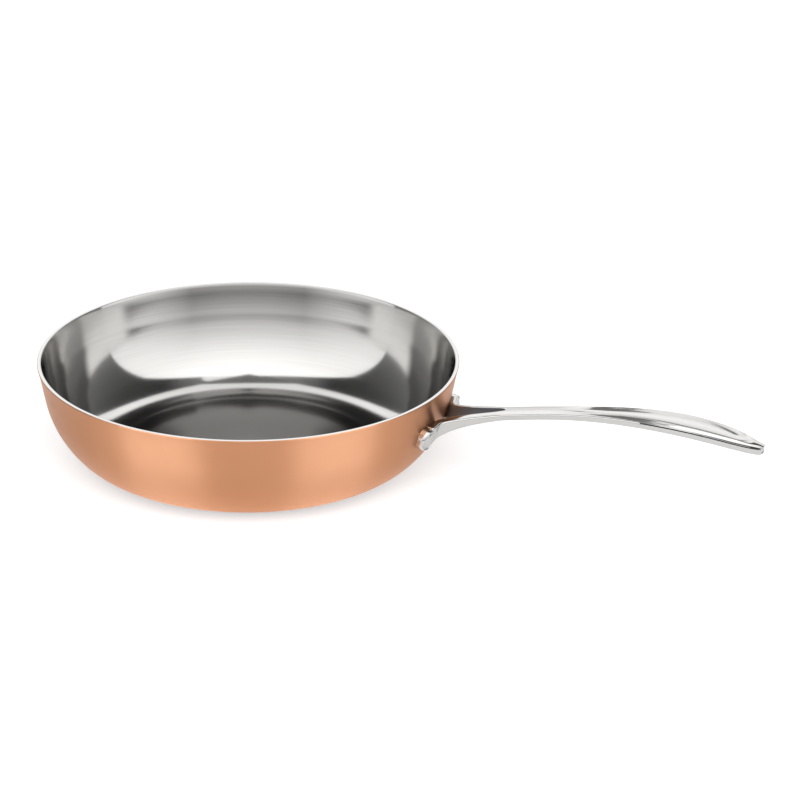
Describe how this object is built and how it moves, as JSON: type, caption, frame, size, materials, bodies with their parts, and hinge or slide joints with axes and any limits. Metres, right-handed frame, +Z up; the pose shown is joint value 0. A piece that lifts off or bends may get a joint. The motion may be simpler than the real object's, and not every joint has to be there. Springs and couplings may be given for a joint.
{
  "type": "frying pan",
  "caption": "Deep-walled copper frying pan with a steel lining and a long cast handle whose forked root is riveted to the wall.",
  "frame": {"origin": "centre of the flat underside, on the surface that the pan stands on", "axes": "+Z up along the pan's axis, +X along the handle towards its tip, +Y to the left when looking along the handle from the pan"},
  "size_m": [0.4198, 0.2396, 0.059],
  "materials": {
    "copper": "brushed and polished copper",
    "aluminium": "bare cut edge",
    "brushed_steel": "circular brush lines",
    "cast_steel": "polished casting",
    "rivet_steel": "polished"
  },
  "bodies": {
    "root": {"copper_shell": "copper", "aluminium_core": "aluminium", "steel_liner": "brushed_steel", "handle": "cast_steel", "left_rivet": "rivet_steel", "right_rivet": "rivet_steel"}
  },
  "joints": []
}
